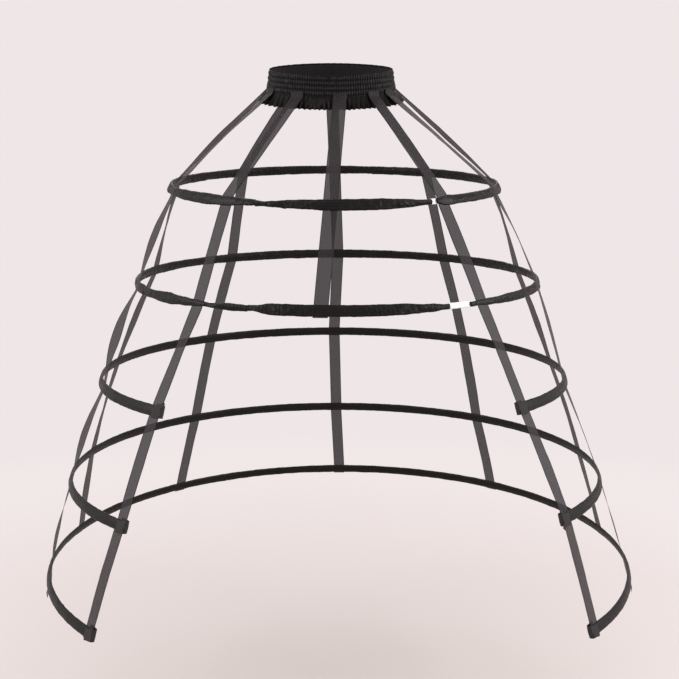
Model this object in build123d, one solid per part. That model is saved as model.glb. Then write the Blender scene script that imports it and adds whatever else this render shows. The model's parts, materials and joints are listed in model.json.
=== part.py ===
from build123d import *
import os
from math import atan2, ceil, cos, degrees, radians, sin, sqrt, tan

# Crinoline cage: five sprung steel hoops, hung on ten ribbon tapes from a shirred waistband.
# The two upper hoops are closed rings. The three lower ones stay open at the front.
# Millimetres. +Z is up, the front faces -Y, and the origin is the middle of the waist opening.
# Angles run from the centre back, positive towards +X, so that 180 is the centre front.
# Cloth lies in flat facets between its gathers, and each piece is a section carried along them.

# Waistband: satin gathered over a wide elastic, an oval of four arcs, wider below than above
waist_half_width = 114.0
waist_half_depth = 82.0
waist_end_radius = 62.0
waist_front_drop = 9.0
band_height = 40.0
band_flare = 5.0
elastic_thickness = 1.2
elastic_margin = 3.0
satin_thickness = 1.5
satin_gather = 1.0

# Frill: the free lower edge of the satin, in soft gathers
frill_height = 21.0
frill_flare = 14.0
frill_thickness = 1.2
gather_count = 66
gather_depth = 3.0

# Hoops from the top down: radius at the steel, height of the centre, how far the centre lies
# to the right of the waist and behind it, and the degrees by which the front drops
hoop_rows = [
    dict(radius=314.0, height=-200.0, right=6.0, back=6.0, drop=2.2),
    dict(radius=384.0, height=-378.0, right=12.0, back=-15.0, drop=0.0),
    dict(radius=446.0, height=-559.0, right=4.0, back=-34.0, drop=-0.6),
    dict(radius=509.0, height=-746.0, right=8.0, back=-56.0, drop=-0.8),
    dict(radius=570.0, height=-937.0, right=15.0, back=-30.0, drop=0.4),
]

# Steel strip, the two ribbons that case it, and the fold of ribbon round each open end
steel_width = 8.0
steel_thickness = 1.2
ribbon_width = 20.0
ribbon_crown = 1.2
hoop_facet = 5.0
wrap_length = 21.0
wrap_width = 21.0
wrap_thickness = 0.6

# Tip that caps each open end of a steel
tip_length = 9.0
tip_wall = 0.3
tip_clearance = 0.1

# Puckers: the share of its width by which a casing is drawn in, on closed and on open hoops
closed_pucker = 0.3
open_pucker = 0.08
pucker_rows = ((7.3, 0.4), (2.7, 2.1), (12.1, 4.0))

# Connector sleeves: where the closed hoops are joined, and how much of each sleeve shows
sleeve_rows = {1: dict(angle=146.8, length=11.0), 2: dict(angle=147.5, length=44.0)}
sleeve_wall = 1.0
sleeve_clearance = 0.2
steel_joint_gap = 1.0

# Tapes: the angle at the waist, then the angle on each hoop that the tape reaches
tape_width = 25.0
tape_thickness = 0.5
tape_lap = 9.0
tape_tail = 2.0
side_front_tail = 9.0
end_margin = 3.0
tape_rows = {
    "back_centre": (0, 0, 0, 0, 0, 0),
    "back_right": (42, 38, 37, 40, 39, 39),
    "side_back_right": (80, 78, 72, 79, 78, 76),
    "side_front_right": (110, 109, 104, 105, 100, 104),
    "front_right": (129, 143, 140, 133, 129, 129),
    "front_centre": (169, 181, 184),
    "front_left": (-140, -144, -142, -138, -135, -131),
    "side_front_left": (-106, -110, -105, -109, -104, -107),
    "side_back_left": (-80, -78, -74, -78, -78, -75),
    "back_left": (-42, -38, -37, -38, -39, -41),
}

# Clearance between layers of cloth, and between cloth and steel
layer_clearance = 0.2


# Layers of a hoop, measured outwards from the middle of the steel. A tape is flat, and its two
# edges stand out from the facets that meet behind its middle.
tape_bow = 0.6 * tape_width * tan(radians(hoop_facet / 2))
steel_gap = tip_clearance + tip_wall + layer_clearance
tape_inner_face = steel_thickness / 2 + steel_gap
tape_middle = tape_inner_face + tape_thickness / 2
outer_ribbon_face = tape_inner_face + tape_thickness + tape_bow + layer_clearance
inner_ribbon_face = -(steel_thickness / 2 + steel_gap)
wrap_outer_face = outer_ribbon_face + ribbon_crown + layer_clearance
wrap_inner_face = inner_ribbon_face - ribbon_crown - layer_clearance


def slope(upper, lower):
    """Degrees from vertical of the tapes between two hoops."""
    return degrees(atan2(lower["radius"] - upper["radius"], upper["height"] - lower["height"]))


def prepare_hoops():
    """Gives each hoop its place, its lean, which follows the tapes below it, and its stations:
    the angles where its facets meet, one of them behind the middle of each tape."""
    for number, row in enumerate(hoop_rows, start=1):
        row["number"] = number
        row["place"] = Pos(row["right"], row["back"], row["height"]) * Rot(row["drop"], 0, 0)
        pair = hoop_rows[number - 1:number + 1] if number < len(hoop_rows) else hoop_rows[-2:]
        row["lean"] = radians(slope(*pair))
        crossings = sorted((angles[number] + 180) % 360 - 180
                           for angles in tape_rows.values() if len(angles) > number)
        row["stations"] = []
        for near, far in zip(crossings, crossings[1:] + [crossings[0] + 360]):
            steps = ceil((far - near) / hoop_facet)
            row["stations"] += [near + (far - near) * step / steps for step in range(steps)]


def across(row, out, up):
    """Point of a hoop's section, from a distance outwards and a distance up the casing."""
    lean = row["lean"]
    return (row["radius"] + out * cos(lean) - up * sin(lean), out * sin(lean) + up * cos(lean))


def box_outline(inner, outer, half_height):
    """Corners of a flat strip's section, between two distances from the steel's middle."""
    return [(inner, -half_height), (outer, -half_height), (outer, half_height), (inner, half_height)]


def flat_faces(a, b, c, d, turned):
    """One flat face through four corners, or two triangles where they don't lie flat."""
    twist = (b - a).cross(c - a).dot(d - a)
    if abs(twist) < 0.001:
        rings = [(a, b, c, d)]
    elif turned:
        rings = [(a, b, d), (b, c, d)]
    else:
        rings = [(a, b, c), (a, c, d)]
    return [Face(Wire.make_polygon(ring, close=True)) for ring in rings]


def carried_along(sections, closed=False):
    """Solid of a section carried along, straight from each place to the next. A section of four
    corners has its two skins folded along the same diagonals, so that it keeps its thickness."""
    count = len(sections[0])
    faces = []
    for near, far in zip(sections, sections[1:] + sections[:1] if closed else sections[1:]):
        for side in range(count):
            after = (side + 1) % count
            faces += flat_faces(near[side], near[after], far[after], far[side], side == 2)
    if not closed:
        faces += [Face(Wire.make_polygon(end, close=True)) for end in (sections[0], sections[-1])]
    return Solid(Shell(faces))


def hoop_stops(row, start, end):
    """Angles from one to another round a hoop, with each station between them."""
    turned = [station + turn for station in row["stations"] for turn in (-360, 0, 360)]
    return [start] + sorted(angle for angle in turned if start < angle < end) + [end]


def on_facet(row, angle):
    """Share of its radius at which a flat facet lies, between the stations beside an angle."""
    turned = [station + turn for station in row["stations"] for turn in (-720, -360, 0, 360, 720)]
    before = max(station for station in turned if station <= angle)
    after = min(station for station in turned if station > angle)
    half = radians(after - before) / 2
    return cos(half) / cos(radians(angle - before) - half)


def section_at(row, outline, angle):
    """Corners of a section at one angle of a hoop, in the cage's own frame."""
    corners = []
    for out, up in outline:
        radius, height = across(row, out, up)
        radius *= on_facet(row, angle)
        local = Pos(radius * sin(radians(angle)), radius * cos(radians(angle)), height)
        corners.append((row["place"] * local).position)
    return corners


def carried_round(row, outline, start, end):
    """Solid of a section carried round a hoop from one angle to another."""
    return carried_along([section_at(row, outline, angle) for angle in hoop_stops(row, start, end)])


def arc_angle(row, length):
    """Degrees that a length takes up round a hoop."""
    return degrees(length / row["radius"])


def hoop_span(row):
    """Start and end angles of a hoop's casing, with those of its steel."""
    number = row["number"]
    if number in sleeve_rows:
        joint = sleeve_rows[number]
        half_show = arc_angle(row, joint["length"] / 2 + layer_clearance)
        half_gap = arc_angle(row, steel_joint_gap / 2)
        middle = joint["angle"]
        casing = (middle + half_show - 360, middle - half_show)
        return casing, (middle + half_gap - 360, middle - half_gap)
    reach = arc_angle(row, tape_width / 2 + end_margin)
    left = tape_rows["front_left"][number] - reach
    right = tape_rows["front_right"][number] + reach
    inset = arc_angle(row, tip_wall + layer_clearance)
    return (left, right), (left + inset, right - inset)


def drawn_in(row, angle):
    """Share of its width that a casing keeps at one angle, less where a pucker draws it in."""
    depth = closed_pucker if row["number"] in sleeve_rows else open_pucker
    turn = radians(angle)
    wave = sum(sin(rate * turn + phase + row["number"]) for rate, phase in pucker_rows)
    return 1 - depth * (0.5 + wave / (2 * len(pucker_rows)))


def make_ribbon(row, face, crown, start, end):
    """One casing ribbon, crowned on the side that shows and drawn in here and there."""
    sections = []
    for angle in hoop_stops(row, start, end):
        half = ribbon_width / 2 * drawn_in(row, angle)
        sections.append(section_at(row, [(face, -half), (face + crown, 0), (face, half)], angle))
    return carried_along(sections)


def make_hoop(row):
    """Steel strip and its two casing ribbons."""
    casing, steel = hoop_span(row)
    strip = box_outline(-steel_thickness / 2, steel_thickness / 2, steel_width / 2)
    name = f"hoop_{row['number']}"
    return {
        f"{name}_steel": carried_round(row, strip, *steel),
        f"{name}_casing_outer": make_ribbon(row, outer_ribbon_face, ribbon_crown, *casing),
        f"{name}_casing_inner": make_ribbon(row, inner_ribbon_face, -ribbon_crown, *casing),
    }


def grown_strip(growth):
    """Section of the steel, larger all round by one distance."""
    reach = steel_thickness / 2 + growth
    return box_outline(-reach, reach, steel_width / 2 + growth)


def make_sleeve(row):
    """Rectangular tube in which the two ends of a closed hoop's steel meet."""
    joint = sleeve_rows[row["number"]]
    half = arc_angle(row, joint["length"] / 2)
    span = (joint["angle"] - half, joint["angle"] + half)
    outside = carried_round(row, grown_strip(sleeve_clearance + sleeve_wall), *span)
    return outside - carried_round(row, grown_strip(sleeve_clearance), *span)


def make_tip(row, side):
    """Thin cap over one open end of a steel. Side is 1 on the right and -1 on the left."""
    end = hoop_span(row)[1][0 if side < 0 else 1]
    wall = arc_angle(row, tip_wall)
    gap = arc_angle(row, tip_clearance)
    skirt = arc_angle(row, tip_length)
    outer = grown_strip(tip_clearance + tip_wall)
    stops = sorted([end + side * (gap + wall), end - side * skirt])
    room = sorted([end + side * gap, end - side * (skirt + wall)])
    return carried_round(row, outer, *stops) - carried_round(row, grown_strip(tip_clearance), *room)


def make_wrap(row, side):
    """Ribbon folded round one open end: along the outside, over the end and back inside."""
    end = hoop_span(row)[0][0 if side < 0 else 1]
    fold = end + side * arc_angle(row, layer_clearance)
    stop = end - side * arc_angle(row, wrap_length)
    half = wrap_width / 2
    legs = sorted([fold, stop])
    outer_leg = carried_round(
        row, box_outline(wrap_outer_face, wrap_outer_face + wrap_thickness, half), *legs)
    inner_leg = carried_round(
        row, box_outline(wrap_inner_face - wrap_thickness, wrap_inner_face, half), *legs)
    bridge = carried_round(
        row, box_outline(wrap_inner_face - wrap_thickness, wrap_outer_face + wrap_thickness, half),
        *sorted([fold, fold + side * arc_angle(row, wrap_thickness)]))
    return outer_leg + inner_leg + bridge


# Oval of the waist

oval_centre = waist_half_width - waist_end_radius
oval_front_radius = (oval_centre ** 2 + waist_half_depth ** 2 - waist_end_radius ** 2) / (
    2 * (waist_half_depth - waist_end_radius))
oval_front_centre = oval_front_radius - waist_half_depth
oval_turn = degrees(atan2(oval_centre, oval_front_centre))
waist_place = Rot(waist_front_drop, 0, 0)


def oval_point(angle, offset):
    """Point on the waist's oval in one direction, moved outwards, and its outward normal."""
    sx, sy = sin(radians(angle)), cos(radians(angle))
    corner_x = oval_front_radius * sin(radians(oval_turn))
    corner_y = oval_front_radius * cos(radians(oval_turn)) - oval_front_centre
    on_front_arc = abs(sx) * corner_y < abs(sy) * corner_x
    if on_front_arc:
        cx, cy = 0.0, -oval_front_centre if sy > 0 else oval_front_centre
        radius = oval_front_radius
    else:
        cx, cy = oval_centre if sx > 0 else -oval_centre, 0.0
        radius = waist_end_radius
    along = sx * cx + sy * cy
    reach = along + sqrt(along ** 2 - cx ** 2 - cy ** 2 + radius ** 2)
    normal = Vector(reach * sx - cx, reach * sy - cy, 0).normalized()
    return Vector(reach * sx, reach * sy, 0) + normal * offset, normal


def carried_round_oval(outline_at):
    """Ring whose section at each fold of the gathers is a list of offsets and heights."""
    sections = []
    for fold in range(2 * gather_count):
        base, normal = oval_point(180 * fold / gather_count, 0)
        corners = [base + normal * out + Vector(0, 0, up) for out, up in outline_at(fold % 2)]
        sections.append([(waist_place * Pos(*corner)).position for corner in corners])
    return carried_along(sections, closed=True)


def make_waistband():
    """Wide elastic, the satin gathered over its outside, and the frill below the two."""
    half = band_height / 2
    near = elastic_thickness + layer_clearance
    middle = near + satin_thickness / 2
    top = -half - layer_clearance

    def leaning(inner, outer, reach):
        wide = band_flare * (half + reach) / band_height
        slim = band_flare * (half - reach) / band_height
        return [(inner + wide, -reach), (outer + wide, -reach), (outer + slim, reach),
                (inner + slim, reach)]

    def elastic(fold):
        return leaning(0, elastic_thickness, half - elastic_margin)

    def satin(fold):
        return leaning(near + satin_gather * fold, near + satin_thickness + satin_gather * fold, half)

    def frill(fold):
        skin = frill_thickness / 2
        upper = middle + band_flare
        lower = upper + frill_flare - gather_depth * (1 - fold)
        bottom = top - frill_height
        return [(lower - skin, bottom), (lower + skin, bottom), (upper + skin, top), (upper - skin, top)]

    return {
        "waistband_elastic": carried_round_oval(elastic),
        "waistband_satin": carried_round_oval(satin),
        "waistband_frill": carried_round_oval(frill),
    }


band_outside = elastic_thickness + layer_clearance + satin_thickness + satin_gather


# Tapes

def cross_section(centre, width_way, out_way):
    """Rectangle across a tape, from its middle, its width and its outward direction."""
    side = width_way.normalized() * (tape_width / 2)
    skin = out_way.normalized() * (tape_thickness / 2)
    return [centre - side - skin, centre + side - skin, centre + side + skin, centre - side + skin]


def waist_sections(angle):
    """A tape's two sections where it is sewn over the lower edge of the band."""
    sections = []
    for up in (tape_lap, 0.0):
        skin = band_outside + band_flare * (1 - up / band_height)
        point, normal = oval_point(angle, skin + layer_clearance + tape_thickness / 2)
        point += Vector(0, 0, up - band_height / 2)
        width_way = Vector(normal.Y, -normal.X, 0)
        placed = [waist_place * Pos(*p) for p in (point, point + width_way, point + normal)]
        centre, side, out = (p.position for p in placed)
        sections.append((centre, side - centre, out - centre))
    return sections


def hoop_sections(row, angle, drift, below):
    """A tape's two sections where it runs between the casing ribbons of a hoop."""
    sections = []
    width_way = Vector(cos(radians(angle)), -sin(radians(angle)), 0)
    above = ribbon_width / 2 + layer_clearance
    for up in (above, -below):
        radius, height = across(row, tape_middle, up)
        point = Vector(radius * sin(radians(angle)), radius * cos(radians(angle)), height)
        point -= width_way * (drift * up)
        flat, rise = cos(row["lean"]), sin(row["lean"])
        out_way = Vector(flat * sin(radians(angle)), flat * cos(radians(angle)), rise)
        placed = [row["place"] * Pos(*p) for p in (point, point + width_way, point + out_way)]
        centre, side, out = (p.position for p in placed)
        sections.append((centre, side - centre, out - centre))
    return sections


def make_tape(name, angles):
    """One tape, straight from hoop to hoop and flat between the ribbons of each casing."""
    sections = waist_sections(angles[0])
    reached = hoop_rows[:len(angles) - 1]
    for row, angle in zip(reached, angles[1:]):
        index = row["number"]
        after = angles[index + 1] if index + 1 < len(angles) else angle
        before = angles[index - 1] if index > 1 else angle
        run = hoop_rows[1]["height"] - hoop_rows[0]["height"]
        drift = -radians(after - before) * row["radius"] / (2 * run)
        below = ribbon_width / 2 + layer_clearance
        if row is reached[-1]:
            below = ribbon_width / 2 + (side_front_tail if "side_front" in name else tape_tail)
        sections += hoop_sections(row, angle, drift, below)
    return carried_along([cross_section(*section) for section in sections])


def make_parts():
    prepare_hoops()
    parts = make_waistband()
    for row in hoop_rows:
        parts.update(make_hoop(row))
        name = f"hoop_{row['number']}"
        if row["number"] in sleeve_rows:
            parts[f"{name}_sleeve"] = make_sleeve(row)
            continue
        for side, word in ((-1, "left"), (1, "right")):
            parts[f"{name}_tip_{word}"] = make_tip(row, side)
            parts[f"{name}_end_wrap_{word}"] = make_wrap(row, side)
    for name, angles in tape_rows.items():
        parts[f"tape_{name}"] = make_tape(name, angles)
    return parts


os.makedirs("parts", exist_ok=True)
for node, shape in make_parts().items():
    export_step(shape, f"parts/{node}.step")
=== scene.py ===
import json
from math import atan2, copysign, cos, degrees, exp, pi, radians, sin, sqrt, tau

import bmesh
import bpy
from bpy.props import FloatProperty, FloatVectorProperty, IntProperty, PointerProperty
from mathutils import Matrix, Vector, noise


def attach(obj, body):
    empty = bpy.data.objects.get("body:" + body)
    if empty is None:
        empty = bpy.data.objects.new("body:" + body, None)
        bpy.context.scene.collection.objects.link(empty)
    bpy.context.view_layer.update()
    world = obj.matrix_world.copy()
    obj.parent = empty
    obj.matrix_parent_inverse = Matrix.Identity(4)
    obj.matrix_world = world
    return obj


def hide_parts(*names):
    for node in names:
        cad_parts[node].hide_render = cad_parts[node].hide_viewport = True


bl_info = {
    "name": "Crinoline cage",
    "version": (1, 0, 0),
    "blender": (4, 5, 0),
    "location": "View3D > Sidebar > Cage",
    "description": "Dresses a cage crinoline: puckered casings, tapes, gathered waistband "
                   "and end wraps",
    "category": "Object",
}

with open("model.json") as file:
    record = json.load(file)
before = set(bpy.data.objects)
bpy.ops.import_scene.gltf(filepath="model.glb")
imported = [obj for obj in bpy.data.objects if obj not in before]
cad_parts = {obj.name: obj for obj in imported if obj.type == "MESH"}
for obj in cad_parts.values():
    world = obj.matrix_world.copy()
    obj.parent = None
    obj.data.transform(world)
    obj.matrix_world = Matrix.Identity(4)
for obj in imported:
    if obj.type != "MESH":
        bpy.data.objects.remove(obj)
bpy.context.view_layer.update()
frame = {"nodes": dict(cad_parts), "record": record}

# Places, in metres and degrees. Angles run from the centre back, positive towards +X.

# Radius of each hoop, its centre, and the degrees by which its front drops
HOOP_ROWS = (
    (0.314, (0.006, 0.006, -0.200), 2.2),
    (0.384, (0.012, -0.015, -0.378), 0.0),
    (0.446, (0.004, -0.034, -0.559), -0.6),
    (0.509, (0.008, -0.056, -0.746), -0.8),
    (0.570, (0.015, -0.030, -0.937), 0.4),
)
HOOP_SPACING = 0.178  # about the height from one hoop to the next

# Where each tape leaves the waist, and where it crosses each hoop that it reaches
TAPE_ANGLES = {
    "back_centre": (0, 0, 0, 0, 0, 0),
    "back_right": (42, 38, 37, 40, 39, 39),
    "side_back_right": (80, 78, 72, 79, 78, 76),
    "side_front_right": (110, 109, 104, 105, 100, 104),
    "front_right": (129, 143, 140, 133, 129, 129),
    "front_centre": (169, 181, 184),
    "front_left": (-140, -144, -142, -138, -135, -131),
    "side_front_left": (-106, -110, -105, -109, -104, -107),
    "side_back_left": (-80, -78, -74, -78, -78, -75),
    "back_left": (-42, -38, -37, -38, -39, -41),
}

# Middle and length of the sleeve on each closed hoop
SLEEVES = {1: (146.8, 0.011), 2: (147.5, 0.044)}

# Inside of the band, its tilt, half its height and how much wider it is below, then how far the
# elastic stays inside its edges and the distance from one cord of the elastic to the next
WAIST_HALF_WIDTH, WAIST_HALF_DEPTH, WAIST_END_RADIUS = 0.114, 0.082, 0.062
WAIST_TILT = Matrix.Rotation(radians(9), 4, "X")
BAND_HALF, BAND_FLARE = 0.020, 0.005
ELASTIC_MARGIN, CORD_PITCH = 0.003, 0.0019

# Places across a casing from -1 to 1: the stitch rows, and the columns of its mesh
STITCH_ROW = 0.56
CASING_COLUMNS = (-1, -0.82, -0.64, -0.56, -0.48, -0.25, 0, 0.25, 0.48, 0.56, 0.64, 0.82, 1)

# How much of its width a casing keeps at an angle of hoops 1 and 2, where it is drawn in or rolled
CASING_KEEPS = {
    1: ((0, 0.95), (20, 0.88), (50, 1.0), (75, 0.85), (95, 1.0), (110, 0.9), (124.6, 0.85),
        (135, 0.82), (141.9, 0.92), (145.3, 0.52), (147.7, 0.48), (150, 0.52), (158.9, 0.8),
        (166.1, 1.0), (181.1, 1.0), (187.3, 0.88), (193.6, 0.8), (198.5, 0.55), (202.9, 0.42),
        (207.2, 0.65), (217, 0.85), (224.8, 1.0), (235.3, 0.95), (250, 0.8), (270, 1.0),
        (300, 0.9), (330, 1.0), (360, 0.95)),
    2: ((0, 1.0), (30, 0.92), (60, 1.0), (80, 0.82), (100, 1.0), (115, 0.85), (127.7, 0.8),
        (136.7, 0.6), (142.6, 0.44), (144, 0.42), (151.9, 0.5), (156.2, 0.72), (164.3, 0.97),
        (181.7, 1.0), (196.3, 1.0), (201.3, 0.55), (207.9, 0.62), (214.4, 0.42), (223.9, 0.75),
        (229.6, 1.0), (238.5, 0.78), (250, 0.9), (264.7, 0.75), (285, 1.0), (310, 0.92),
        (335, 1.0), (360, 1.0)),
}

# A tape's twist in degrees and its outward bulge in metres, on each stretch from the waist down
TAPE_SLACK = {
    "back_centre": ((0, 0.001), (0, 0.001), (0, 0.001), (0, 0.001), (0, 0.001)),
    "back_right": ((6, 0.002), (-5, 0.001), (0, 0.002), (4, 0.001), (0, 0.002)),
    "side_back_right": ((14, 0.002), (-8, 0.003), (6, 0.002), (0, 0.002), (-5, 0.001)),
    "side_front_right": ((8, 0.001), (10, 0.003), (-6, 0.002), (5, 0.001), (8, 0.001)),
    "front_right": ((4, 0.001), (-6, 0.001), (3, 0.001), (-5, 0.001), (0, 0.001)),
    "front_centre": ((-4, 0.002), (3, 0.002)),
    "front_left": ((3, 0.001), (0, 0.001), (-8, 0.001), (4, 0.001), (0, 0.001)),
    "side_front_left": ((-12, 0.003), (20, 0.005), (30, 0.010), (18, 0.006), (-20, 0.006)),
    "side_back_left": ((-14, 0.002), (10, 0.002), (-12, 0.002), (8, 0.002), (-6, 0.001)),
    "back_left": ((-6, 0.002), (0, 0.001), (-4, 0.002), (0, 0.001), (3, 0.001)),
}

# How far above and below a hoop's steel the casing holds a tape, how far below its last hoop a tape
# ends, and how far out from the steel's middle it lies
TAPE_REACH, TAPE_END, SIDE_FRONT_END = 0.0102, 0.012, 0.019
TAPE_OUT = 0.00145

# How far up the band a tape is sewn, and how far out from the waist it lies there
TAPE_LAP, TAPE_OFF_WAIST = 0.009, 0.0045

# Which way a wrap's loose tail points across the casing, and how far it sticks out
WRAP_TAILS = {
    (3, "left"): (1, 0.014), (3, "right"): (-1, 0.005), (4, "left"): (-1, 0.005),
    (4, "right"): (-1, 0.013), (5, "left"): (1, 0.004), (5, "right"): (-1, 0.004),
}

# Thickness of the satin, the elastic and the folded ribbon, and the step of a tape's mesh
SATIN_THICKNESS, ELASTIC_THICKNESS, FOLD_THICKNESS = 0.0004, 0.0008, 0.0005
TAPE_STEP = 0.003
MERGE_DISTANCE = 0.00001

# Place of each soft lamp, its share of the power that is set, and its width
LAMPS = (
    ((-2.7, -1.1, 0.7), 1.4, 1.8),
    ((2.8, -0.9, 0.5), 1.5, 1.6),
    ((0.0, 1.9, 1.6), 0.6, 2.2),
)
LAMP_TARGET = Vector((0, 0, -0.5))
FLOOR_RADIUS = 60.0


class Hoop:
    """One sprung hoop: its ring, its place in the cage and the lean of its casing."""

    def __init__(self, number):
        self.number = number
        self.radius, centre, drop = HOOP_ROWS[number - 1]
        self.place = Matrix.Translation(centre) @ Matrix.Rotation(radians(drop), 4, "X")
        upper, lower = HOOP_ROWS[number - 1:number + 1] if number < 5 else HOOP_ROWS[-2:]
        self.lean = atan2(lower[0] - upper[0], upper[1][2] - lower[1][2])
        self.tapes = [angles[number] % 360 for angles in TAPE_ANGLES.values()
                      if len(angles) > number]

    def ring_point(self, angle, out, up):
        """Point in the hoop's own frame, from an angle, a distance outwards and a distance up."""
        radius = self.radius + out * cos(self.lean) - up * sin(self.lean)
        height = out * sin(self.lean) + up * cos(self.lean)
        return Vector((radius * sin(radians(angle)), radius * cos(radians(angle)), height))

    def point(self, angle, out, up):
        """The same point in the cage's frame."""
        return self.place @ self.ring_point(angle, out, up)

    def turn(self, length):
        """Degrees that a length takes up round the hoop."""
        return degrees(length / self.radius)

    def casing_ends(self, ribbon):
        """Angles where the casing starts and ends."""
        if self.number in SLEEVES:
            middle, length = SLEEVES[self.number]
            half = self.turn(length / 2 + 0.0002)
            return middle + half - 360, middle - half
        reach = self.turn(ribbon.tape_width / 2 + ribbon.end_margin)
        return (TAPE_ANGLES["front_left"][self.number] - reach,
                TAPE_ANGLES["front_right"][self.number] + reach)


def waist_point(angle, offset, height):
    """Point of the waistband in the cage's frame, and the direction outwards there."""
    centre = WAIST_HALF_WIDTH - WAIST_END_RADIUS
    long_radius = (centre ** 2 + WAIST_HALF_DEPTH ** 2 - WAIST_END_RADIUS ** 2) / (
        2 * (WAIST_HALF_DEPTH - WAIST_END_RADIUS))
    long_centre = long_radius - WAIST_HALF_DEPTH
    turn = atan2(centre, long_centre)
    sx, sy = sin(radians(angle)), cos(radians(angle))
    corner_x, corner_y = long_radius * sin(turn), long_radius * cos(turn) - long_centre
    if abs(sx) * corner_y < abs(sy) * corner_x:
        cx, cy, radius = 0.0, -copysign(long_centre, sy), long_radius
    else:
        cx, cy, radius = copysign(centre, sx), 0.0, WAIST_END_RADIUS
    along = sx * cx + sy * cy
    reach = along + sqrt(along ** 2 - cx ** 2 - cy ** 2 + radius ** 2)
    normal = Vector((reach * sx - cx, reach * sy - cy, 0)).normalized()
    point = Vector((reach * sx, reach * sy, height)) + normal * offset
    return WAIST_TILT @ point, (WAIST_TILT.to_3x3() @ normal)


def ripple(x, y=0.0, z=0.0):
    """Smooth irregular value from about -1 to 1, the same for the same place."""
    return noise.noise(Vector((x, y, z)))


def between(rows, at):
    """Value at one place of a list of (place, value), eased from each to the next."""
    for (near, low), (far, high) in zip(rows, rows[1:]):
        if near <= at <= far:
            share = (at - near) / (far - near)
            return low + (high - low) * share * share * (3 - 2 * share)
    return rows[-1][1]


# Materials

class Value:
    """Output of a shader node that takes part in plain Python maths."""

    def __init__(self, tree, socket):
        self.tree, self.socket = tree, socket

    def math(self, operation, *values, clamp=False):
        node = self.tree.nodes.new("ShaderNodeMath")
        node.operation, node.use_clamp = operation, clamp
        for socket, value in zip(node.inputs, values):
            put(self.tree, socket, value)
        return Value(self.tree, node.outputs[0])

    def __add__(self, other):
        return self.math("ADD", self, other)

    def __sub__(self, other):
        return self.math("SUBTRACT", self, other)

    def __rsub__(self, other):
        return self.math("SUBTRACT", other, self)

    def __mul__(self, other):
        return self.math("MULTIPLY", self, other)

    def __truediv__(self, other):
        return self.math("DIVIDE", self, other)

    def __abs__(self):
        return self.math("ABSOLUTE", self)

    __radd__, __rmul__ = __add__, __mul__

    def sine(self):
        return self.math("SINE", self)

    def share(self):
        """The part after the decimal point."""
        return self.math("FRACT", self)

    def above(self, edge):
        return self.math("GREATER_THAN", self, edge)

    def below(self, edge):
        return self.math("LESS_THAN", self, edge)

    def clamped(self):
        return self.math("ADD", self, 0.0, clamp=True)

    def split(self):
        """The three parts of a vector."""
        node = self.tree.nodes.new("ShaderNodeSeparateXYZ")
        put(self.tree, node.inputs[0], self)
        return [Value(self.tree, output) for output in node.outputs]


def put(tree, socket, value):
    """Links a Value to a socket, or sets the socket to a plain number, colour or vector."""
    if isinstance(value, Value):
        tree.links.new(value.socket, socket)
    elif socket.type == "RGBA":
        socket.default_value = (*value[:3], 1.0)
    else:
        socket.default_value = value


class Finish:
    """One procedural material, made node by node."""

    def __init__(self, name):
        self.material = bpy.data.materials.new(name)
        self.material.use_nodes = True
        self.tree = self.material.node_tree
        self.tree.nodes.clear()

    def node(self, kind, settings, sockets, output=0):
        """A node of one kind, with its settings first and then its sockets, as its Value."""
        node = self.tree.nodes.new(kind)
        for setting, value in settings.items():
            setattr(node, setting, value)
        for key, value in sockets.items():
            put(self.tree, node.inputs[key], value)
        return Value(self.tree, node.outputs[output])

    def along_cloth(self):
        """Length along the cloth and distance across it in metres, and place from -1 to 1."""
        return self.node("ShaderNodeAttribute", {"attribute_name": "cloth"}, {}, "Vector")

    def place(self):
        return self.node("ShaderNodeTexCoord", {}, {}, "Object")

    def scaled(self, vector, by):
        return self.node("ShaderNodeVectorMath", {"operation": "MULTIPLY"}, {0: vector, 1: by})

    def cloudy(self, vector, scale, detail=2.0):
        return self.node("ShaderNodeTexNoise", {},
                         {"Vector": vector, "Scale": scale, "Detail": detail})

    def mixed(self, share, first, second):
        """Colour between two colours."""
        return self.node("ShaderNodeMix", {"data_type": "RGBA"}, {0: share, 6: first, 7: second}, 2)

    def bumped(self, height, distance):
        return self.node("ShaderNodeBump", {}, {"Height": height, "Distance": distance})

    def finish(self, **sockets):
        """Principled shader from keywords, with spaces for underscores, and the output."""
        named = {name.replace("_", " "): value for name, value in sockets.items()}
        self.node_out(self.node("ShaderNodeBsdfPrincipled", {}, named))
        return self.material

    def node_out(self, shader):
        """Ends the material with a shader."""
        output = self.tree.nodes.new("ShaderNodeOutputMaterial")
        self.tree.links.new(shader.socket, output.inputs["Surface"])


def casing_finish(colours):
    """Black satin ribbon with threads along it and two rows of machine stitches, and a painted
    sheen in patches.
    """
    f = Finish("casing_ribbon")
    cloth = f.along_cloth()
    along, _, place = cloth.split()
    threads = f.cloudy(f.scaled(cloth, (260, 5200, 0)), 1.0, 1.0)
    creases = f.cloudy(f.scaled(cloth, (170, 60, 0)), 1.0, 3.0)
    mottled = f.cloudy(f.scaled(cloth, (22, 90, 0)), 1.0, 4.0)
    row = abs(abs(place) - STITCH_ROW).below(0.035)
    stitch = row * (along / 0.0028).share().below(0.72)
    # painted sheen: the casing colour turns lighter in noise patches; the same noise also varies
    # the roughness
    tone = f.mixed((mottled - 0.35) * 1.4, colours.casing, colours.casing_painted_sheen)
    tone = f.mixed(stitch * 0.6, tone, colours.thread)
    height = threads * 0.12 + creases * 0.8 - row * 0.5 + stitch * 0.6
    return f.finish(Base_Color=tone, Roughness=0.36 + mottled * 0.22, Normal=f.bumped(height, 0.0006),
                    Specular_IOR_Level=0.14, Sheen_Weight=0.015, Sheen_Roughness=0.4)


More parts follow.
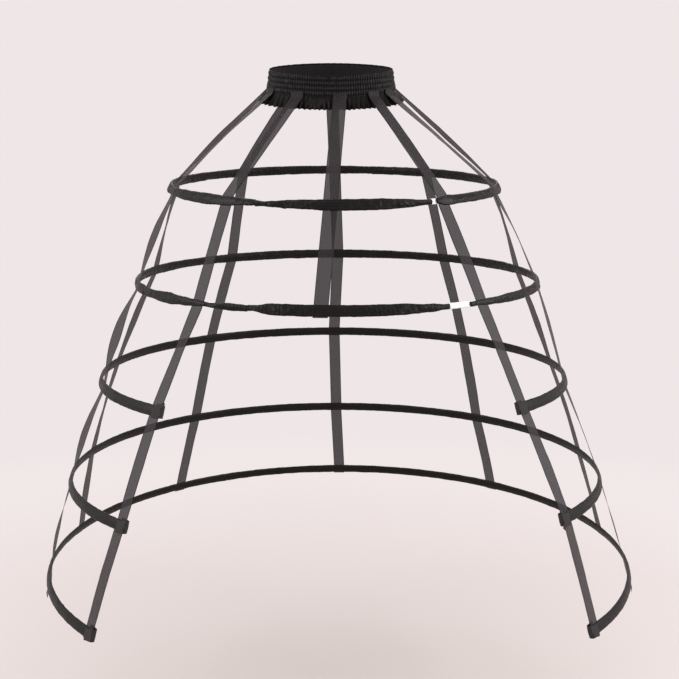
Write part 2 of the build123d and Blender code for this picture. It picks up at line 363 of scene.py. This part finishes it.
def tape_finish(colours):
    """Thin black ribbon that lets some light through, with closer woven edges."""
    f = Finish("tape_ribbon")
    cloth = f.along_cloth()
    along, _, place = cloth.split()
    ribs = (along * (tau / 0.0007)).sine() * 0.5
    threads = f.cloudy(f.scaled(cloth, (400, 4200, 0)), 1.0, 1.0)
    creases = f.cloudy(f.scaled(cloth, (30, 45, 0)), 1.0, 3.0)
    edge = abs(place).above(0.9)
    # painted highlight: the tape turns lighter where the crease noise is high
    tone = f.mixed(creases, colours.tape, colours.tape_light)
    tone = f.mixed(edge * 0.7, tone, colours.casing)
    height = threads * 0.03 + ribs * 0.01 + creases * 0.5 + edge * 0.1
    return f.finish(Base_Color=tone, Roughness=0.55 + creases * 0.15, Alpha=0.75 + edge * 0.2,
                    Normal=f.bumped(height, 0.0005), Specular_IOR_Level=0.16,
                    Sheen_Weight=0.02, Sheen_Roughness=0.5)


def band_finish(colours):
    """Black satin of the waistband and its frill, with elastic thread in rows and a painted
    highlight in patches.
    """
    f = Finish("band_satin")
    cloth = f.along_cloth()
    along, _, place = cloth.split()
    threads = f.cloudy(f.scaled(cloth, (900, 3600, 0)), 1.0, 1.0)
    creases = f.cloudy(f.scaled(cloth, (420, 60, 0)), 1.0, 3.0)
    mottled = f.cloudy(f.scaled(cloth, (60, 120, 0)), 1.0, 4.0)
    stitch = (place * place).below(0.0004) * (along / 0.0032).share().below(0.75)
    # painted highlight: the satin turns lighter in noise patches, standing in for light on the tops
    # of its folds; the same noise also varies the roughness
    tone = f.mixed((mottled - 0.3) * 1.3, colours.satin, colours.satin_painted_highlight_and_fuzz)
    tone = f.mixed(stitch * 0.5, tone, colours.thread)
    height = threads * 0.15 + creases * 0.9 + stitch * 0.5
    return f.finish(Base_Color=tone, Roughness=0.3 + mottled * 0.2, Normal=f.bumped(height, 0.0005),
                    Specular_IOR_Level=0.09)


def elastic_finish(colours):
    """Black woven elastic: cords round the band under a close plain weave."""
    f = Finish("woven_elastic")
    cloth = f.along_cloth()
    along, across, _ = cloth.split()
    cords = (across * (tau / CORD_PITCH)).sine()
    picks = (along * (tau / 0.0011)).sine()
    fuzz = f.cloudy(f.scaled(cloth, (1500, 1500, 0)), 1.0, 3.0)
    tone = f.mixed(fuzz, colours.elastic, colours.satin_painted_highlight_and_fuzz)
    return f.finish(Base_Color=tone, Roughness=0.7 + fuzz * 0.15,
                    Normal=f.bumped(cords * 0.5 + picks * 0.2 + fuzz * 0.3, 0.0006),
                    Specular_IOR_Level=0.2)


def sleeve_finish(colours):
    """White plastic sleeve, a little scuffed."""
    f = Finish("white_sleeve")
    place = f.place()
    scuffs = f.cloudy(f.scaled(place, (700, 700, 1400)), 1.0, 4.0)
    blotch = f.cloudy(place, 160.0, 3.0)
    tone = f.mixed((scuffs - 0.45) * 1.6, colours.sleeve, colours.sleeve_worn)
    return f.finish(Base_Color=tone, Roughness=0.38 + blotch * 0.25,
                    Normal=f.bumped(scuffs + blotch, 0.0004))


def steel_finish(colours):
    """White enamel on spring steel, with small dark chips."""
    f = Finish("coated_steel")
    place = f.place()
    grain = f.cloudy(place, 900.0, 3.0)
    chips = f.cloudy(place, 240.0, 5.0).above(0.68)
    tone = f.mixed(chips, colours.sleeve, colours.chip)
    return f.finish(Base_Color=tone, Roughness=0.32 + grain * 0.16, Metallic=chips * 0.8,
                    Normal=f.bumped(grain * 0.3 - chips, 0.0002))


def tip_finish(colours):
    """Pressed metal tip, brushed along its length."""
    f = Finish("steel_tip")
    place = f.place()
    brushed = f.cloudy(f.scaled(place, (300, 300, 6000)), 1.0, 2.0)
    return f.finish(Base_Color=colours.metal, Metallic=1.0, Roughness=0.28 + brushed * 0.25,
                    Normal=f.bumped(brushed, 0.0001))


def seen_rays(tree):
    """1 for a ray from the camera, even by way of a gloss or through cloth, and 0 for others."""
    path = tree.nodes.new("ShaderNodeLightPath")
    camera, glossy, through = (Value(tree, path.outputs[f"Is {kind} Ray"])
                               for kind in ("Camera", "Glossy", "Transmission"))
    return (camera + glossy + through).clamped()


def floor_finish(stage):
    """Pale studio floor that keeps the shadow close by and fades into the background."""
    f = Finish("studio_floor")
    x, y, _ = f.place().split()
    far = ((x * x + y * y) / (stage.fade_radius ** 2)).clamped()
    tone = f.mixed(far, stage.floor, stage.backdrop)
    near = f.node("ShaderNodeBsdfDiffuse", {}, {"Color": tone})
    glow = f.node("ShaderNodeEmission", {},
                  {"Color": stage.backdrop, "Strength": seen_rays(f.tree)})
    f.node_out(f.node("ShaderNodeMixShader", {}, {0: far, 1: near, 2: glow}))
    return f.material


# Meshes

def set_piece(bm, name, material, nodes):
    """Finished piece at the origin, riding with the cage in place of its CAD nodes."""
    mesh = bpy.data.meshes.new(name)
    bm.to_mesh(mesh)
    bm.free()
    for polygon in mesh.polygons:
        polygon.use_smooth = True
    mesh.materials.append(material)
    piece = bpy.data.objects.new(name, mesh)
    bpy.context.collection.objects.link(piece)
    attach(piece, "root")
    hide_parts(*nodes)
    return piece


def thicken(bm, thickness):
    """Closes a sheet's seam, turns it outwards and gives it its thickness."""
    bmesh.ops.remove_doubles(bm, verts=bm.verts, dist=MERGE_DISTANCE)
    bmesh.ops.recalc_face_normals(bm, faces=bm.faces)
    bmesh.ops.solidify(bm, geom=bm.faces[:], thickness=thickness)


def cloth_grid(columns, rows, shape):
    """Sheet of cloth whose place comes from shape(share round or along, share up or across).
    It gives a point and the cloth's own (length, width, place across)."""
    bm = bmesh.new()
    layer = bm.verts.layers.float_vector.new("cloth")
    bmesh.ops.create_grid(bm, x_segments=columns, y_segments=rows, size=0.5)
    for vert in bm.verts:
        vert.co, vert[layer] = shape(vert.co.x + 0.5, vert.co.y + 0.5)
    return bm


def make_casing(hoop, ribbon, material):
    """Two ribbons sewn round the steel, drawn in, rolled and puckered by the stitches."""
    start, end = hoop.casing_ends(ribbon)
    outline = [(u, 1) for u in CASING_COLUMNS]
    outline += [(u, -1) for u in reversed(CASING_COLUMNS)] + outline[:1]

    def shape(share, across):
        u, side = outline[round(across * (len(outline) - 1))]
        angle = start + (end - start) * share
        out, up = casing_surface(hoop, ribbon, angle, u, side)
        cloth = (radians(angle) * hoop.radius, u * ribbon.casing_width / 2, u)
        return hoop.point(angle, out, up), cloth

    steps = round(radians(end - start) * hoop.radius / ribbon.step)
    bm = cloth_grid(steps, len(outline) - 1, shape)
    bmesh.ops.remove_doubles(bm, verts=bm.verts, dist=MERGE_DISTANCE)
    bmesh.ops.holes_fill(bm, edges=[edge for edge in bm.edges if edge.is_boundary], sides=0)
    bmesh.ops.recalc_face_normals(bm, faces=bm.faces)
    name = f"hoop_{hoop.number}_casing"
    set_piece(bm, name, material, (name + "_outer", name + "_inner"))


def casing_surface(hoop, ribbon, angle, u, side):
    """How far out and up a point of the casing lies. u runs from -1 below to 1 above, and side is
    1 for the outer ribbon and -1 for the inner one."""
    neat = hoop.number not in SLEEVES
    along = radians(angle) * hoop.radius
    seed = hoop.number * 7.3
    if neat:
        keep = 0.97 + 0.04 * ripple(along * 14, seed) - 0.05 * max(0, ripple(along * 30, seed + 3))
        slack = 0.25
    else:
        keep = between(CASING_KEEPS[hoop.number], angle % 360)
        slack = 1.0
    half = ribbon.casing_width / 2 * keep
    wave = 0.0006 * ripple(along * 55, copysign(3, u), seed) + 0.0004 * ripple(along * 160, u, seed)
    up = u * half + wave * u * u
    crown = max(0.0, 1 - u * u) ** 0.6
    groove = exp(-((abs(u) - STITCH_ROW) / 0.05) ** 2)
    seam = exp(-((abs(u) - STITCH_ROW) / 0.22) ** 2)
    out = 0.0021 + 0.0016 * crown if side > 0 else 0.0005 - 0.0024 * crown
    out += side * (1 - keep) * 0.0022 * crown
    puckers = sin(tau * along / ribbon.pucker_pitch + 2.6 * ripple(along * 70, seed))
    puckers *= 0.55 + 0.6 * ripple(along * 28, side * 2.0, seed)
    folds = ripple(along * 48 + u * 0.5, u * 0.7, seed + 5 * side)
    small = ripple(along * 150 - u * 0.8, u * 1.3, seed + 9 * side)
    relief = ribbon.pucker_depth * puckers * (0.3 + 0.7 * seam) * (1.0 if neat else 0.6)
    relief += slack * (0.0022 * folds + 0.0012 * small) * (0.35 + 0.65 * crown)
    nearest = min(abs((angle - tape + 180) % 360 - 180) for tape in hoop.tapes)
    near_tape = nearest * hoop.radius * pi / 180
    calm = 1 - 0.6 * exp(-(near_tape / 0.014) ** 2)
    out += side * abs(relief) * calm - side * 0.0004 * groove
    roll = 0.0 if neat else (1 - keep) * 1.1 * (1 - exp(-(near_tape / 0.02) ** 2))
    roll *= copysign(1, ripple(along * 4.0, seed + 20))
    out, up = out * cos(roll) - up * sin(roll), out * sin(roll) + up * cos(roll)
    return out, up


def waist_rows(angle):
    """Two places of a tape where it is sewn over the lower edge of the band."""
    rows = []
    for up in (TAPE_LAP, 0.0):
        offset = TAPE_OFF_WAIST + BAND_FLARE * (1 - up / (2 * BAND_HALF))
        point, normal = waist_point(angle, offset, up - BAND_HALF)
        side = Vector((normal.y, -normal.x, 0)).normalized()
        rows.append((point, side, normal))
    return rows


def tape_rows(name, hoops):
    """Places of a tape from the waist down: middle, direction across and direction outwards."""
    angles = TAPE_ANGLES[name]
    rows = waist_rows(angles[0])
    last = len(angles) - 1
    for number in range(1, last + 1):
        hoop, angle = hoops[number], angles[number]
        after = angles[number + 1] if number < last else angle
        before = angles[number - 1] if number > 1 else angle
        drift = radians(after - before) * hoop.radius / (2 * HOOP_SPACING)
        below = TAPE_REACH
        if number == last:
            below = SIDE_FRONT_END if "side_front" in name else TAPE_END
        turn = hoop.place.to_3x3()
        flat = turn @ Vector((cos(radians(angle)), -sin(radians(angle)), 0))
        out_way = turn @ Vector((cos(hoop.lean) * sin(radians(angle)),
                                 cos(hoop.lean) * cos(radians(angle)), sin(hoop.lean)))
        for up in (TAPE_REACH, -below):
            rows.append((hoop.point(angle, TAPE_OUT, up) - flat * (drift * up), flat, out_way))
    return rows


def make_tape(name, ribbon, hoops, material):
    """One ribbon tape, eased between the hoops, with its slack and twist on each stretch."""
    rows = tape_rows(name, hoops)
    lengths = [0.0]
    for near, far in zip(rows, rows[1:]):
        lengths.append(lengths[-1] + (far[0] - near[0]).length)
    total = lengths[-1]
    seed = list(TAPE_ANGLES).index(name) * 3.1

    def shape(share, across):
        length = share * total
        index = max(i for i in range(len(rows) - 1) if lengths[i] <= length + 1e-9)
        at = (length - lengths[index]) / (lengths[index + 1] - lengths[index])
        near, far = rows[index], rows[index + 1]
        point = near[0].lerp(far[0], at)
        side, out = (near[way].lerp(far[way], at).normalized() for way in (1, 2))
        place = 2 * across - 1
        if index % 2:  # every other stretch is free, between two places that hold the tape
            twist, bulge = TAPE_SLACK[name][index // 2]
            swell = sin(pi * at) ** 2
            lean = radians(twist) * swell + 0.10 * ripple(length * 9, seed) * swell
            side, out = side * cos(lean) + out * sin(lean), out * cos(lean) - side * sin(lean)
            point = point + out * bulge * sin(pi * at)
            curl = 0.0009 * ripple(length * 14, seed + 5) * swell
            point = point + out * (curl * place * place)
            point = point + out * 0.0005 * ripple(length * 50, place * 1.5, seed) * swell
        point = point + side * (place * ribbon.tape_width / 2)
        return point, (length, place * ribbon.tape_width / 2, place)

    bm = cloth_grid(round(total / TAPE_STEP), 8, shape)
    thicken(bm, ribbon.tape_thickness)
    piece = set_piece(bm, f"tape_{name}_ribbon", material, (f"tape_{name}",))


def make_wrap(hoop, word, ribbon, material):
    """Ribbon folded round an open end, with the loose tail of its last turn."""
    side = -1 if word == "left" else 1
    end = hoop.casing_ends(ribbon)[0 if side < 0 else 1]
    leg = ribbon.wrap_length
    middle, bend = 0.0009, 0.0041  # how far out the fold's middle lies, and the radius of the fold
    half_turn = pi * bend
    total = 2 * leg + half_turn
    seed = hoop.number * 5.7 + side

    def shape(share, across):
        length = share * total
        place = 2 * across - 1
        if length < leg:
            back, out = leg - length, bend
        elif length < leg + half_turn:
            round_end = (length - leg) / bend
            back, out = -bend * 0.45 * sin(round_end), bend * cos(round_end)
        else:
            back, out = length - leg - half_turn, -bend
        lift = 0.0007 * ripple(length * 120, place * 1.4, seed) + 0.0005 * (1 - place * place)
        up = place * ribbon.wrap_width / 2 * (1 + 0.05 * ripple(length * 90, seed))
        up += 0.00024 * seed * (share - 0.5)
        angle = end - side * hoop.turn(back)
        return hoop.point(angle, middle + out + copysign(lift, out), up), (length, up, place)

    bm = cloth_grid(56, 12, shape)
    way, reach = WRAP_TAILS[hoop.number, word]

    def tail(share, across):
        place = 2 * across - 1
        spread = place * 0.0045 * (1 - 0.3 * share)
        back = 0.004 - 0.75 * share * reach + 0.66 * spread
        up = way * (ribbon.wrap_width / 2 - 0.004 + 0.66 * share * reach + 0.75 * spread)
        out = middle + bend + 0.0012 + 0.0012 * ripple(place * 1.5, share * 3, seed)
        return hoop.point(end - side * hoop.turn(back), out, up), (share * reach, spread, place)

    flap = cloth_grid(10, 8, tail)
    for sheet in (bm, flap):
        thicken(sheet, FOLD_THICKNESS)
    scrap = bpy.data.meshes.new("tail")
    flap.to_mesh(scrap)
    flap.free()
    bm.from_mesh(scrap)
    bpy.data.meshes.remove(scrap)
    name = f"hoop_{hoop.number}_end_wrap_{word}"
    set_piece(bm, name + "_fold", material, (name,))


def make_band(waist, material):
    """Satin gathered over the elastic, drawn in along each row of elastic thread."""
    rows = waist.stitch_rows

    def shape(share, across):
        angle = 360 * share
        row = (across - 0.05) / 0.9 * (rows - 1)
        channel = abs(sin(pi * row)) if 0.05 <= across <= 0.95 else 0.25
        puff = waist.band_puff * channel ** 0.7
        level = min(max(int(row), 0), rows - 2)
        phase = 1.2 * ripple(share * 40, level * 3.7, 2.0)
        phase += 0.5 * ripple(share * 90, across * 6, 4.0)
        uneven = 0.7 + 0.6 * ripple(share * 70, level * 2.1, 9.0)
        gather = waist.gather_depth * (0.35 + 0.65 * channel) * uneven
        gather *= sin(tau * waist.fine_gathers * share + phase)
        height = (2 * across - 1) * BAND_HALF
        height += 0.0005 * ripple(share * 120, copysign(2, across - 0.5)) * abs(2 * across - 1) ** 3
        offset = 0.0024 + BAND_FLARE * (1 - across) + puff + gather
        point, _ = waist_point(angle, offset, height)
        return point, (share * waist.waist_round, height, row - round(row))

    bm = cloth_grid(waist.fine_gathers * 8, 36, shape)
    thicken(bm, SATIN_THICKNESS)
    piece = set_piece(bm, "waistband_gathered", material, ("waistband_satin",))


def make_frill(waist, material):
    """The free lower edge of the satin, in soft uneven gathers."""

    def shape(share, across):
        angle = 360 * share
        down = 1 - across
        place = waist.frill_gathers * share
        phase = 0.9 * ripple(share * 33, 1.0) + 0.5 * ripple(share * 80, down * 2, 3.0)
        uneven = 0.75 + 0.7 * ripple(share * 50, 6.0)
        fold = sin(tau * place + phase)
        fold += 0.35 * sin(tau * 2 * place + 2 * phase + 3 * ripple(share * 45, 8.0))
        swing = 0.5 * (1 + down)
        gather = waist.frill_depth * uneven * fold * (0.25 + 0.75 * down ** 0.8) * swing
        curve = 0.014 * down ** 1.15 + 0.0007 * sin(pi * down)
        drop = waist.frill_height * down + 0.0003 * fold * down * down
        drop += 0.0009 * ripple(share * 28, 12.0) * down
        offset = 0.0033 + BAND_FLARE + curve + gather
        point, _ = waist_point(angle, offset, 0.0008 - BAND_HALF - drop)
        return point, (share * 1.5 * waist.waist_round, across * waist.frill_height, 0.5)

    bm = cloth_grid(waist.frill_gathers * 12, 14, shape)
    thicken(bm, SATIN_THICKNESS)
    piece = set_piece(bm, "waistband_frill_gathered", material, ("waistband_frill",))


def make_elastic(waist, material):
    """Wide woven elastic inside the band, rippled where the rows of thread draw it in."""
    reach = BAND_HALF - ELASTIC_MARGIN

    def shape(share, across):
        height = (2 * across - 1) * reach
        cords = 0.00012 * sin(tau * height / CORD_PITCH)
        draw = 0.0003 * ripple(share * 160, across * 3, 1.0)
        offset = 0.0011 + BAND_FLARE * (BAND_HALF - height) / (2 * BAND_HALF) + cords + draw
        point, _ = waist_point(360 * share, offset, height)
        return point, (share * waist.waist_round, height, 0.5)

    bm = cloth_grid(520, 54, shape)
    thicken(bm, ELASTIC_THICKNESS)
    piece = set_piece(bm, "waistband_woven_elastic", material, ("waistband_elastic",))


def make_sleeve(hoop, material):
    """White sleeve over the joint of a closed hoop's steel, with rounded and pinched ends."""
    middle, length = SLEEVES[hoop.number]
    half = hoop.turn(length / 2)
    tall, thick, corner = 0.0052, 0.0019, 0.0012  # half its height and thickness, and its rounding
    bm = bmesh.new()
    ring = []
    for cx, cy, first in ((1, 1, 0), (-1, 1, 90), (-1, -1, 180), (1, -1, 270)):
        for step in range(5):
            turn = radians(first + 22.5 * step)
            ring.append(bm.verts.new(hoop.ring_point(
                middle - half, cx * (thick - corner) + corner * cos(turn),
                cy * (tall - corner) + corner * sin(turn))))
    edges = [bm.edges.new(pair) for pair in zip(ring, ring[1:] + ring[:1])]
    steps = max(10, round(length / 0.001))
    bmesh.ops.spin(bm, geom=ring + edges, cent=(0, 0, 0), axis=(0, 0, 1),
                   angle=-radians(2 * half), steps=steps, use_merge=False)
    ends = bmesh.ops.holes_fill(bm, edges=[edge for edge in bm.edges if edge.is_boundary], sides=0)
    bmesh.ops.inset_region(bm, faces=ends["faces"], thickness=0.0007, depth=-0.0006)
    bmesh.ops.recalc_face_normals(bm, faces=bm.faces)
    for vert in bm.verts:
        vert.co = hoop.place @ vert.co
        dent = 0.00035 * ripple(vert.co.x * 140, vert.co.y * 140, vert.co.z * 220)
        vert.co += vert.normal * dent
    name = f"hoop_{hoop.number}_sleeve"
    set_piece(bm, name + "_white", material, (name,))


# Settings

def length_setting(name, description, default, low, high):
    return FloatProperty(name=name, description=description, default=default, min=low, max=high,
                         unit="LENGTH", subtype="DISTANCE", precision=4)


def count_setting(name, description, default, low, high):
    return IntProperty(name=name, description=description, default=default, min=low, max=high)


def colour_setting(name, description, default):
    return FloatVectorProperty(name=name, description=description, default=default, size=3,
                               min=0.0, max=1.0, subtype="COLOR")


class RibbonSettings(bpy.types.PropertyGroup):
    casing_width: length_setting("Casing width", "Width of the ribbons that case each hoop",
                                 0.020, 0.012, 0.03)
    tape_width: length_setting("Tape width", "Width of the vertical tapes", 0.025, 0.015, 0.035)
    tape_thickness: length_setting("Tape thickness", "Thickness of the tapes",
                                   0.0004, 0.0002, 0.001)
    end_margin: length_setting("End margin", "Casing beyond the last tape of an open hoop",
                               0.003, 0.001, 0.01)
    pucker_pitch: length_setting("Pucker pitch", "Distance from one pucker to the next",
                                 0.0065, 0.003, 0.02)
    pucker_depth: length_setting("Pucker depth", "Depth of the puckers at the stitches",
                                 0.0009, 0.0, 0.002)
    wrap_length: length_setting("Wrap length", "How far an end wrap reaches back",
                                0.021, 0.01, 0.03)
    wrap_width: length_setting("Wrap width", "Width of the ribbon of an end wrap",
                               0.0215, 0.01, 0.03)
    step: length_setting("Step", "Length of one step of a casing's mesh", 0.0016, 0.001, 0.005)


class WaistSettings(bpy.types.PropertyGroup):
    stitch_rows: count_setting("Stitch rows", "Rows of elastic thread", 5, 2, 9)
    fine_gathers: count_setting("Fine gathers", "Gathers round the band", 124, 40, 240)
    frill_gathers: count_setting("Frill gathers", "Gathers round the frill", 66, 20, 120)
    band_puff: length_setting("Band puff", "How far the satin stands out between rows",
                              0.0013, 0.0, 0.004)
    gather_depth: length_setting("Gather depth", "Depth of the fine gathers", 0.0008, 0.0, 0.002)
    frill_height: length_setting("Frill height", "Height of the frill", 0.021, 0.01, 0.04)
    frill_depth: length_setting("Frill depth", "Depth of the frill's gathers", 0.0039, 0.0, 0.006)
    waist_round: length_setting("Waist", "Length round the waist", 0.64, 0.5, 0.9)


class ColourSettings(bpy.types.PropertyGroup):
    casing: colour_setting("Casing", "Ribbon of the casings", (0.0050, 0.0034, 0.0036))
    # painted sheen: the lighter satin colour that the casing takes in its noise patches
    casing_painted_sheen: colour_setting("Casing, light", "Casing ribbon where it is rubbed",
                                 (0.012, 0.0095, 0.0100))
    thread: colour_setting("Thread", "Sewing thread", (0.022, 0.020, 0.021))
    tape: colour_setting("Tape", "Ribbon of the tapes", (0.022, 0.017, 0.019))
    tape_light: colour_setting("Tape, light", "Tape ribbon where it catches light",
                               (0.036, 0.029, 0.032))
    satin: colour_setting("Satin", "Satin of the waistband", (0.0052, 0.0036, 0.0038))
    # painted highlight on the band's satin; the woven elastic also uses this colour for its fuzz
    satin_painted_highlight_and_fuzz: colour_setting("Satin, light", "Satin on the tops of its folds",
                                (0.0105, 0.0085, 0.0088))
    elastic: colour_setting("Elastic", "Woven elastic", (0.010, 0.010, 0.011))
    sleeve: colour_setting("Sleeve", "White plastic sleeve and steel coating",
                           (0.80, 0.80, 0.78))
    sleeve_worn: colour_setting("Sleeve, worn", "Scuffed white plastic", (0.62, 0.62, 0.60))
    chip: colour_setting("Chip", "Bare steel in a chip of the coating", (0.22, 0.21, 0.20))
    metal: colour_setting("Metal", "Pressed metal of the tips", (0.56, 0.56, 0.57))


class StageSettings(bpy.types.PropertyGroup):
    lens: FloatProperty(name="Lens", description="Focal length of the camera", default=65.57,
                        min=20, max=200, unit="CAMERA")
    camera_place: FloatVectorProperty(name="Camera", description="Where the camera stands",
                                      default=(0.016, -2.4, -0.0372), subtype="XYZ", unit="LENGTH")
    camera_dip: FloatProperty(name="Dip", description="How far the camera looks down",
                              default=radians(10.98), subtype="ANGLE", unit="ROTATION")
    floor_drop: length_setting("Floor", "Depth of the floor below the waist", 1.30, 0.97, 3.0)
    fade_radius: length_setting("Fade", "Distance at which the floor meets the background",
                                2.2, 1.0, 9.0)
    floor: colour_setting("Floor colour", "Pale floor", (0.546, 0.483, 0.466))
    backdrop: colour_setting("Background", "Pale background", (0.865, 0.795, 0.800))
    sky: colour_setting("Ambient light", "Soft light from all round", (0.95, 0.93, 0.93))
    sky_strength: FloatProperty(name="Ambient strength", default=0.55, min=0.0, max=2.0,
                                description="Strength of the light from all round")
    lamp_power: FloatProperty(name="Lamp power", default=60.0, min=0.0, max=500.0, unit="POWER",
                              description="Power of a soft lamp with a share of 1")


SETTINGS = {
    "cage_ribbon": RibbonSettings,
    "cage_waist": WaistSettings,
    "cage_colours": ColourSettings,
    "cage_stage": StageSettings,
}


# Operators

class CAGE_OT_waistband(bpy.types.Operator):
    """Models the elastic, the gathered satin over it and the frill below"""
    bl_idname = "cage.waistband"
    bl_label = "Waistband and frill"

    def execute(self, context):
        waist, colours = context.scene.cage_waist, context.scene.cage_colours
        make_elastic(waist, elastic_finish(colours))
        satin = band_finish(colours)
        make_band(waist, satin)
        make_frill(waist, satin)
        return {"FINISHED"}


class CAGE_OT_casings(bpy.types.Operator):
    """Models the puckered ribbon casing of each hoop"""
    bl_idname = "cage.casings"
    bl_label = "Hoop casings"

    def execute(self, context):
        material = casing_finish(context.scene.cage_colours)
        for number in range(1, 6):
            make_casing(Hoop(number), context.scene.cage_ribbon, material)
        return {"FINISHED"}


class CAGE_OT_tapes(bpy.types.Operator):
    """Models the ten ribbon tapes"""
    bl_idname = "cage.tapes"
    bl_label = "Tapes"

    def execute(self, context):
        material = tape_finish(context.scene.cage_colours)
        hoops = {number: Hoop(number) for number in range(1, 6)}
        for name in TAPE_ANGLES:
            make_tape(name, context.scene.cage_ribbon, hoops, material)
        return {"FINISHED"}


class CAGE_OT_end_wraps(bpy.types.Operator):
    """Models the folded ribbon at the open ends of the lower hoops"""
    bl_idname = "cage.end_wraps"
    bl_label = "End wraps"

    def execute(self, context):
        material = bpy.data.materials["casing_ribbon"]
        for number, word in WRAP_TAILS:
            make_wrap(Hoop(number), word, context.scene.cage_ribbon, material)
        return {"FINISHED"}


class CAGE_OT_sleeves(bpy.types.Operator):
    """Models the white sleeves that join the two closed hoops"""
    bl_idname = "cage.sleeves"
    bl_label = "Connector sleeves"

    def execute(self, context):
        material = sleeve_finish(context.scene.cage_colours)
        for number in SLEEVES:
            make_sleeve(Hoop(number), material)
        return {"FINISHED"}


class CAGE_OT_steels(bpy.types.Operator):
    """Gives the steels and their tips their finishes"""
    bl_idname = "cage.steels"
    bl_label = "Steels and tips"

    def execute(self, context):
        colours = context.scene.cage_colours
        finishes = {"hoop_steel": steel_finish(colours), "steel_tip": tip_finish(colours)}
        for part in frame["record"]["subparts"]:
            if part["material_slot"] in finishes:
                piece = frame["nodes"][part["node"]]
                for index in range(len(piece.material_slots)):
                    piece.material_slots[index].material = finishes[part["material_slot"]]
        return {"FINISHED"}


class CAGE_OT_stage(bpy.types.Operator):
    """Sets the floor, the soft lamps, the background and the camera"""
    bl_idname = "cage.stage"
    bl_label = "Stage"

    def execute(self, context):
        stage = context.scene.cage_stage
        bm = bmesh.new()
        bmesh.ops.create_circle(bm, cap_ends=True, segments=96, radius=FLOOR_RADIUS)
        bmesh.ops.translate(bm, verts=bm.verts, vec=(0, 0, -stage.floor_drop))
        mesh = bpy.data.meshes.new("floor")
        bm.to_mesh(mesh)
        bm.free()
        mesh.materials.append(floor_finish(stage))
        floor = bpy.data.objects.new("floor", mesh)
        context.collection.objects.link(floor)
        set_background(context.scene, stage)
        for index, (place, share, size) in enumerate(LAMPS):
            light = bpy.data.lights.new(f"soft_lamp_{index + 1}", "AREA")
            light.shape, light.size = "DISK", size
            light.energy = stage.lamp_power * share
            lamp = bpy.data.objects.new(light.name, light)
            lamp.location = place
            aim = LAMP_TARGET - lamp.location
            lamp.rotation_euler = aim.to_track_quat("-Z", "Y").to_euler()
            context.collection.objects.link(lamp)
        view = bpy.data.cameras.new("camera")
        view.sensor_width, view.sensor_fit, view.lens = 36.0, "HORIZONTAL", stage.lens
        camera = bpy.data.objects.new("camera", view)
        camera.location = stage.camera_place
        camera.rotation_euler = (pi / 2 - stage.camera_dip, 0, 0)
        context.collection.objects.link(camera)
        context.scene.camera = camera
        context.scene.view_settings.view_transform = "Standard"
        return {"FINISHED"}


def set_background(scene, stage):
    """World that lights the cage evenly and shows a pale background."""
    world = bpy.data.worlds.new("studio")
    scene.world = world
    world.use_nodes = True
    tree = world.node_tree
    tree.nodes.clear()
    soft, pale = (tree.nodes.new("ShaderNodeBackground") for _ in range(2))
    soft.inputs["Color"].default_value = (*stage.sky, 1.0)
    soft.inputs["Strength"].default_value = stage.sky_strength
    pale.inputs["Color"].default_value = (*stage.backdrop, 1.0)
    mix = tree.nodes.new("ShaderNodeMixShader")
    tree.links.new(seen_rays(tree).socket, mix.inputs[0])
    tree.links.new(soft.outputs[0], mix.inputs[1])
    tree.links.new(pale.outputs[0], mix.inputs[2])
    output = tree.nodes.new("ShaderNodeOutputWorld")
    tree.links.new(mix.outputs[0], output.inputs["Surface"])


OPERATORS = (CAGE_OT_waistband, CAGE_OT_casings, CAGE_OT_tapes, CAGE_OT_end_wraps, CAGE_OT_sleeves,
             CAGE_OT_steels, CAGE_OT_stage)


class CAGE_PT_pieces(bpy.types.Panel):
    """Lists the pieces of the cage and their settings"""
    bl_idname = "CAGE_PT_pieces"
    bl_label = "Crinoline cage"
    bl_space_type = "VIEW_3D"
    bl_region_type = "UI"
    bl_category = "Cage"

    def draw(self, context):
        for operator in OPERATORS:
            self.layout.operator(operator.bl_idname)
        for name, group in SETTINGS.items():
            box = self.layout.box()
            for setting in group.__annotations__:
                box.prop(getattr(context.scene, name), setting)


def register():
    for name, group in SETTINGS.items():
        bpy.utils.register_class(group)
        setattr(bpy.types.Scene, name, PointerProperty(type=group))
    for cls in (*OPERATORS, CAGE_PT_pieces):
        bpy.utils.register_class(cls)


def unregister():
    for cls in (CAGE_PT_pieces, *reversed(OPERATORS)):
        bpy.utils.unregister_class(cls)
    for name, group in SETTINGS.items():
        delattr(bpy.types.Scene, name)
        bpy.utils.unregister_class(group)


def main():
    register()
    bpy.ops.cage.waistband()
    bpy.ops.cage.casings()
    bpy.ops.cage.tapes()
    bpy.ops.cage.end_wraps()
    bpy.ops.cage.sleeves()
    bpy.ops.cage.steels()
    bpy.ops.cage.stage()


if __name__ == "__main__":
    main()
